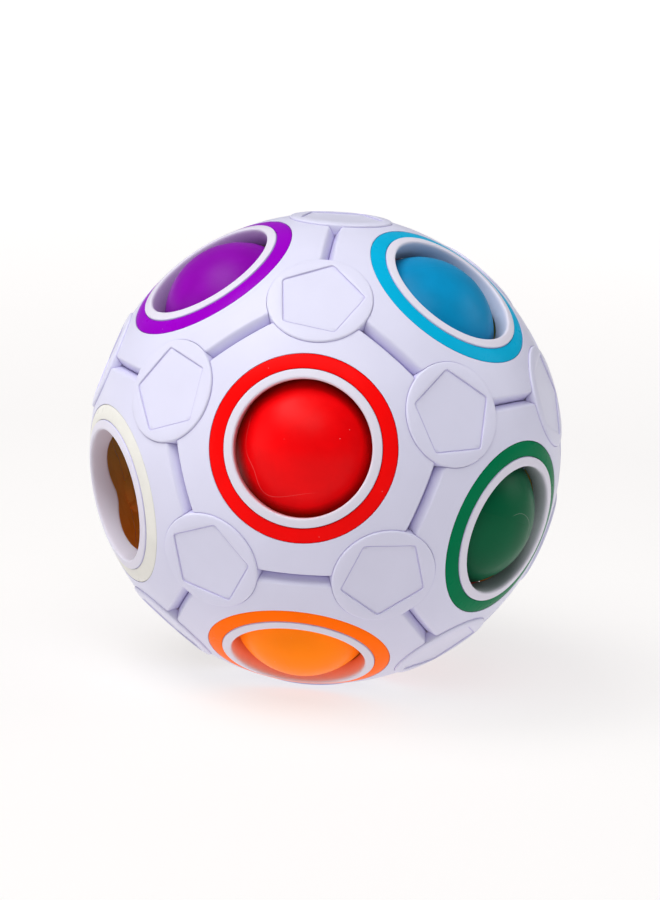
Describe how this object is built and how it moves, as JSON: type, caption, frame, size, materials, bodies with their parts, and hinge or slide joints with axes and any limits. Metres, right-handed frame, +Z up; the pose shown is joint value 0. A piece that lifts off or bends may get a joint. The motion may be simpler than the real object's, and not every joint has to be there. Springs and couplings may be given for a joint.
{
  "type": "push-ball sphere puzzle",
  "caption": "Hollow sphere puzzle with coloured ring windows; loose balls press in and roll across to the one empty window until colours match.",
  "frame": {"origin": "centre of the sphere", "axes": "+Z up through the top corner cap, -Y towards the front, where the red window faces, +X to the right"},
  "size_m": [0.07, 0.0708, 0.0695],
  "materials": {
    "shell_white": "satin moulded",
    "core_rubber": "soft matt",
    "ring_red": "gloss",
    "ball_red": "satin",
    "ring_orange": "gloss",
    "ball_orange": "satin",
    "ring_purple": "gloss",
    "ball_purple": "satin",
    "ring_sky_blue": "gloss",
    "ball_sky_blue": "satin",
    "ring_white": "gloss",
    "ring_green": "gloss",
    "ball_green": "satin",
    "ring_pink": "gloss",
    "ball_pink": "satin",
    "ring_dark_blue": "gloss",
    "ball_dark_blue": "satin",
    "ring_yellow": "gloss",
    "ball_yellow": "satin",
    "ring_light_green": "gloss",
    "ball_light_green": "satin",
    "ring_rose": "gloss",
    "ball_rose": "satin",
    "ring_brown": "gloss",
    "ball_brown": "satin"
  },
  "bodies": {
    "shell": {"panel_red": "shell_white", "panel_orange": "shell_white", "panel_purple": "shell_white", "panel_sky_blue": "shell_white", "panel_white": "shell_white", "panel_green": "shell_white", "panel_pink": "shell_white", "panel_dark_blue": "shell_white", "panel_yellow": "shell_white", "panel_light_green": "shell_white", "panel_rose": "shell_white", "panel_brown": "shell_white", "ring_red": "ring_red", "ring_orange": "ring_orange", "ring_purple": "ring_purple", "ring_sky_blue": "ring_sky_blue", "ring_white": "ring_white", "ring_green": "ring_green", "ring_pink": "ring_pink", "ring_dark_blue": "ring_dark_blue", "ring_yellow": "ring_yellow", "ring_light_green": "ring_light_green", "ring_rose": "ring_rose", "ring_brown": "ring_brown", "corner_cap_01": "shell_white", "corner_cap_02": "shell_white", "corner_cap_03": "shell_white", "corner_cap_04": "shell_white", "corner_cap_05": "shell_white", "corner_cap_06": "shell_white", "corner_cap_07": "shell_white", "corner_cap_08": "shell_white", "corner_cap_09": "shell_white", "corner_cap_10": "shell_white", "corner_cap_11": "shell_white", "corner_cap_12": "shell_white", "corner_cap_13": "shell_white", "corner_cap_14": "shell_white", "corner_cap_15": "shell_white", "corner_cap_16": "shell_white", "corner_cap_17": "shell_white", "corner_cap_18": "shell_white", "corner_cap_19": "shell_white", "corner_cap_20": "shell_white"},
    "core": {"soft_core": "core_rubber"},
    "ball_red": {"ball_red": "ball_red"},
    "ball_orange": {"ball_orange": "ball_orange"},
    "ball_purple": {"ball_purple": "ball_purple"},
    "ball_sky_blue": {"ball_sky_blue": "ball_sky_blue"},
    "ball_green": {"ball_green": "ball_green"},
    "ball_pink": {"ball_pink": "ball_pink"},
    "ball_dark_blue": {"ball_dark_blue": "ball_dark_blue"},
    "ball_yellow": {"ball_yellow": "ball_yellow"},
    "ball_light_green": {"ball_light_green": "ball_light_green"},
    "ball_rose": {"ball_rose": "ball_rose"},
    "ball_brown": {"ball_brown": "ball_brown"}
  },
  "joints": [
    {"name": "press_red", "type": "slide", "parent": "shell", "child": "ball_red", "axis": [0, 0.9822, -0.1876], "range_m": [0, 0.00365], "stiffness_N_per_m": 300, "springref_m": -0.003, "deforming": ["soft_core"]},
    {"name": "press_orange", "type": "slide", "parent": "shell", "child": "ball_orange", "axis": [0, 0.6071, 0.7947], "range_m": [0, 0.00365], "stiffness_N_per_m": 300, "springref_m": -0.003, "deforming": ["soft_core"]},
    {"name": "press_purple", "type": "slide", "parent": "shell", "child": "ball_purple", "axis": [0.5257, 0.3035, -0.7947], "range_m": [0, 0.00365], "stiffness_N_per_m": 300, "springref_m": -0.003, "deforming": ["soft_core"]},
    {"name": "press_sky_blue", "type": "slide", "parent": "shell", "child": "ball_sky_blue", "axis": [-0.5257, 0.3035, -0.7947], "range_m": [0, 0.00365], "stiffness_N_per_m": 300, "springref_m": -0.003, "deforming": ["soft_core"]},
    {"name": "press_green", "type": "slide", "parent": "shell", "child": "ball_green", "axis": [-0.8507, 0.4911, 0.1876], "range_m": [0, 0.00365], "stiffness_N_per_m": 300, "springref_m": -0.003, "deforming": ["soft_core"]},
    {"name": "press_pink", "type": "slide", "parent": "shell", "child": "ball_pink", "axis": [0, -0.6071, -0.7947], "range_m": [0, 0.00365], "stiffness_N_per_m": 300, "springref_m": -0.003, "deforming": ["soft_core"]},
    {"name": "press_dark_blue", "type": "slide", "parent": "shell", "child": "ball_dark_blue", "axis": [-0.8507, -0.4911, -0.1876], "range_m": [0, 0.00365], "stiffness_N_per_m": 300, "springref_m": -0.003, "deforming": ["soft_core"]},
    {"name": "press_yellow", "type": "slide", "parent": "shell", "child": "ball_yellow", "axis": [0.8507, -0.4911, -0.1876], "range_m": [0, 0.00365], "stiffness_N_per_m": 300, "springref_m": -0.003, "deforming": ["soft_core"]},
    {"name": "press_light_green", "type": "slide", "parent": "shell", "child": "ball_light_green", "axis": [0, -0.9822, 0.1876], "range_m": [0, 0.00365], "stiffness_N_per_m": 300, "springref_m": -0.003, "deforming": ["soft_core"]},
    {"name": "press_rose", "type": "slide", "parent": "shell", "child": "ball_rose", "axis": [-0.5257, -0.3035, 0.7947], "range_m": [0, 0.00365], "stiffness_N_per_m": 300, "springref_m": -0.003, "deforming": ["soft_core"]},
    {"name": "roll_across", "type": "hinge", "parent": "shell", "child": "core", "pos_m": [0, 0, 0], "axis": [-0.5, 0.6455, 0.5774], "range_deg": [0, 63.44]},
    {"name": "seat_brown", "type": "slide", "parent": "core", "child": "ball_brown", "axis": [-0.5257, 0.3035, -0.7947], "range_m": [0, 0.00365]}
  ]
}
